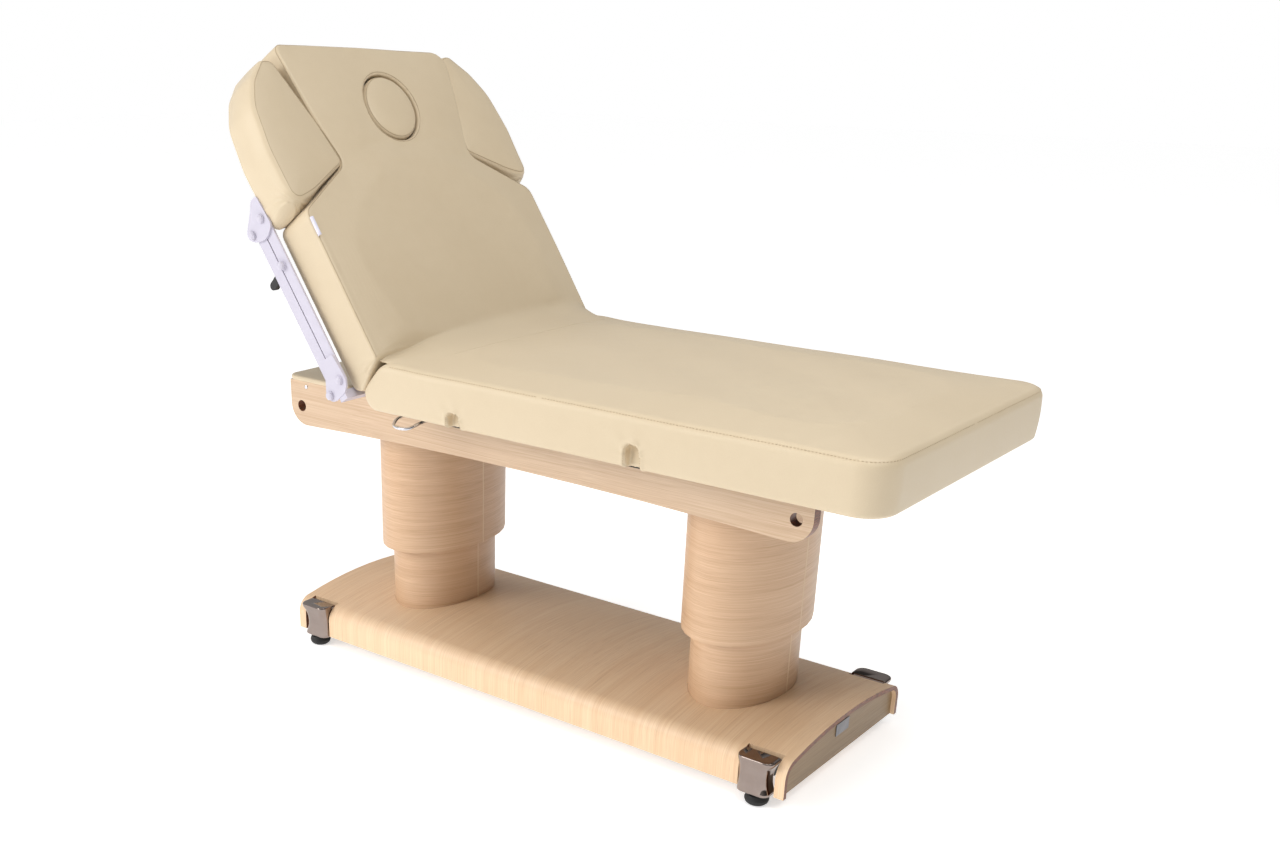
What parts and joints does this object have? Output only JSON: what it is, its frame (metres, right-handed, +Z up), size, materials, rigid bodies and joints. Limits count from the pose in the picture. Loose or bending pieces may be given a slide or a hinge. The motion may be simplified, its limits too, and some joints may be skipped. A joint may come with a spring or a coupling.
{
  "type": "facial treatment bed",
  "caption": "Padded treatment bed with raised backrest, face opening and drop arm rests, on two oval lifting columns and an arched wooden base.",
  "frame": {"origin": "on the floor under the middle of the bounding box, with the backrest raised as at rest", "axes": "+X towards the foot end, +Y across the bed to the far side, +Z up"},
  "size_m": [1.6474, 0.8258, 1.3868],
  "materials": {
    "oak_veneer": "satin lacquered light oak veneer with fine straight grain and dark red-brown edges",
    "dark_veneer": "satin darker veneer",
    "cushion_leather": "cream soft leatherette over foam, fine grain, satin",
    "painted_white": "smooth white powder coat",
    "dark_chrome": "dark polished chrome",
    "bright_chrome": "polished",
    "steel": "grey coated steel",
    "board": "dark stained board",
    "black_plastic": "matt black",
    "rubber": "matt",
    "plate_grey": "satin blank plate"
  },
  "bodies": {
    "base": {"base_shell": "oak_veneer", "base_panel_foot": "dark_veneer", "base_panel_head": "dark_veneer", "mains_inlet": "black_plastic", "label_plate": "plate_grey", "control_box": "black_plastic", "floor_rail_near": "steel", "floor_rail_far": "steel", "corner_cover_near_head": "dark_chrome", "corner_cover_far_head": "dark_chrome", "corner_cover_near_foot": "dark_chrome", "corner_cover_far_foot": "dark_chrome", "column_cover_head": "oak_veneer", "column_cover_foot": "oak_veneer", "lift_tube_outer_head": "steel", "lift_tube_outer_foot": "steel"},
    "top_frame": {"column_sleeve_head": "oak_veneer", "column_sleeve_foot": "oak_veneer", "lift_tube_inner_head": "steel", "lift_tube_inner_foot": "steel", "crossbeam_head": "steel", "crossbeam_foot": "steel", "side_rail_near": "oak_veneer", "side_rail_far": "oak_veneer", "back_hinge_plate_near": "steel", "back_hinge_plate_far": "steel", "deck_pad": "cushion_leather", "handset_hook": "bright_chrome", "seat_board": "board", "seat_pad": "steel", "back_actuator": "black_plastic", "leg_actuator": "black_plastic"},
    "thigh": {"thigh_board": "board", "thigh_pad": "cushion_leather"},
    "calf": {"calf_board": "board", "calf_pad": "cushion_leather"},
    "back_rod": {"back_rod": "steel"},
    "leg_rod": {"leg_rod": "steel"},
    "backrest": {"back_pad": "cushion_leather", "back_board": "board", "back_shaft": "steel", "back_hinge_arm_near": "steel", "back_hinge_arm_far": "steel", "arm_base_near": "painted_white", "arm_base_far": "painted_white"},
    "face_plug": {"face_plug": "cushion_leather"},
    "levelling_foot_near_head": {"levelling_foot_near_head": "rubber"},
    "levelling_foot_far_head": {"levelling_foot_far_head": "rubber"},
    "levelling_foot_near_foot": {"levelling_foot_near_foot": "rubber"},
    "levelling_foot_far_foot": {"levelling_foot_far_foot": "rubber"},
    "arm_front_near": {"arm_bar_front_near": "painted_white"},
    "arm_rear_near": {"arm_bar_rear_near": "painted_white"},
    "arm_rest_near": {"arm_carrier_near": "painted_white", "arm_pad_near": "cushion_leather"},
    "arm_lever_near": {"arm_lever_near": "black_plastic"},
    "arm_front_far": {"arm_bar_front_far": "painted_white"},
    "arm_rear_far": {"arm_bar_rear_far": "painted_white"},
    "arm_rest_far": {"arm_carrier_far": "painted_white", "arm_pad_far": "cushion_leather"},
    "arm_lever_far": {"arm_lever_far": "black_plastic"}
  },
  "joints": [
    {"name": "lift", "type": "slide", "parent": "base", "child": "top_frame", "axis": [0, 0, 1], "range_m": [-0.14, 0.13]},
    {"name": "back_raise", "type": "hinge", "parent": "top_frame", "child": "backrest", "pos_m": [-0.3718, 0, 0.7245], "axis": [0, 1, 0], "range_deg": [-55.8, 12]},
    {"name": "back_rod_travel", "type": "slide", "parent": "top_frame", "child": "back_rod", "axis": [-1, 0, 0], "range_m": [-0.0842, 0.0185]},
    {"name": "thigh_raise", "type": "hinge", "parent": "top_frame", "child": "thigh", "pos_m": [-0.1303, 0, 0.6785], "axis": [0, -1, 0], "range_deg": [0, 25]},
    {"name": "knee", "type": "hinge", "parent": "thigh", "child": "calf", "pos_m": [0.3177, 0, 0.6785], "axis": [0, 1, 0], "range_deg": [0, 47.5]},
    {"name": "leg_rod_travel", "type": "slide", "parent": "top_frame", "child": "leg_rod", "axis": [1, 0, 0], "range_m": [0, 0.0285]},
    {"name": "plug_lift", "type": "slide", "parent": "backrest", "child": "face_plug", "axis": [0.8271, 0, 0.5621], "range_m": [0, 0.13]},
    {"name": "arm_near_lower", "type": "hinge", "parent": "backrest", "child": "arm_front_near", "pos_m": [-0.43342, -0.399, 0.74489], "axis": [0, -1, 0], "range_deg": [0, 35]},
    {"name": "arm_near_rear_link", "type": "hinge", "parent": "backrest", "child": "arm_rear_near", "pos_m": [-0.46234, -0.399, 0.7065], "axis": [0, -1, 0], "range_deg": [0, 35]},
    {"name": "arm_near_carrier", "type": "hinge", "parent": "arm_front_near", "child": "arm_rest_near", "pos_m": [-0.65481, -0.399, 1.06355], "axis": [0, -1, 0], "range_deg": [-35, 0]},
    {"name": "arm_near_lever", "type": "hinge", "parent": "arm_front_near", "child": "arm_lever_near", "pos_m": [-0.59851, -0.392, 0.97003], "axis": [0, -1, 0], "range_deg": [0, 12], "stiffness_Nm_per_rad": 0.6, "springref_deg": -8.59},
    {"name": "arm_far_lower", "type": "hinge", "parent": "backrest", "child": "arm_front_far", "pos_m": [-0.43342, 0.399, 0.74489], "axis": [0, -1, 0], "range_deg": [0, 35]},
    {"name": "arm_far_rear_link", "type": "hinge", "parent": "backrest", "child": "arm_rear_far", "pos_m": [-0.46234, 0.399, 0.7065], "axis": [0, -1, 0], "range_deg": [0, 35]},
    {"name": "arm_far_carrier", "type": "hinge", "parent": "arm_front_far", "child": "arm_rest_far", "pos_m": [-0.65481, 0.399, 1.06355], "axis": [0, -1, 0], "range_deg": [-35, 0]},
    {"name": "arm_far_lever", "type": "hinge", "parent": "arm_front_far", "child": "arm_lever_far", "pos_m": [-0.59851, 0.392, 0.97003], "axis": [0, -1, 0], "range_deg": [0, 12], "stiffness_Nm_per_rad": 0.6, "springref_deg": -8.59},
    {"name": "foot_screw_near_head", "type": "slide", "parent": "base", "child": "levelling_foot_near_head", "axis": [0, 0, -1], "range_m": [0, 0.012]},
    {"name": "foot_screw_far_head", "type": "slide", "parent": "base", "child": "levelling_foot_far_head", "axis": [0, 0, -1], "range_m": [0, 0.012]},
    {"name": "foot_screw_near_foot", "type": "slide", "parent": "base", "child": "levelling_foot_near_foot", "axis": [0, 0, -1], "range_m": [0, 0.012]},
    {"name": "foot_screw_far_foot", "type": "slide", "parent": "base", "child": "levelling_foot_far_foot", "axis": [0, 0, -1], "range_m": [0, 0.012]}
  ],
  "couplings": [
    {"joint": "back_rod_travel", "follows": "back_raise", "m_per_rad": 0.086},
    {"joint": "knee", "follows": "thigh_raise", "ratio": 1.885},
    {"joint": "leg_rod_travel", "follows": "thigh_raise", "m_per_rad": 0.064},
    {"joint": "arm_near_rear_link", "follows": "arm_near_lower", "ratio": 1},
    {"joint": "arm_near_carrier", "follows": "arm_near_lower", "ratio": -1},
    {"joint": "arm_far_rear_link", "follows": "arm_far_lower", "ratio": 1},
    {"joint": "arm_far_carrier", "follows": "arm_far_lower", "ratio": -1}
  ]
}
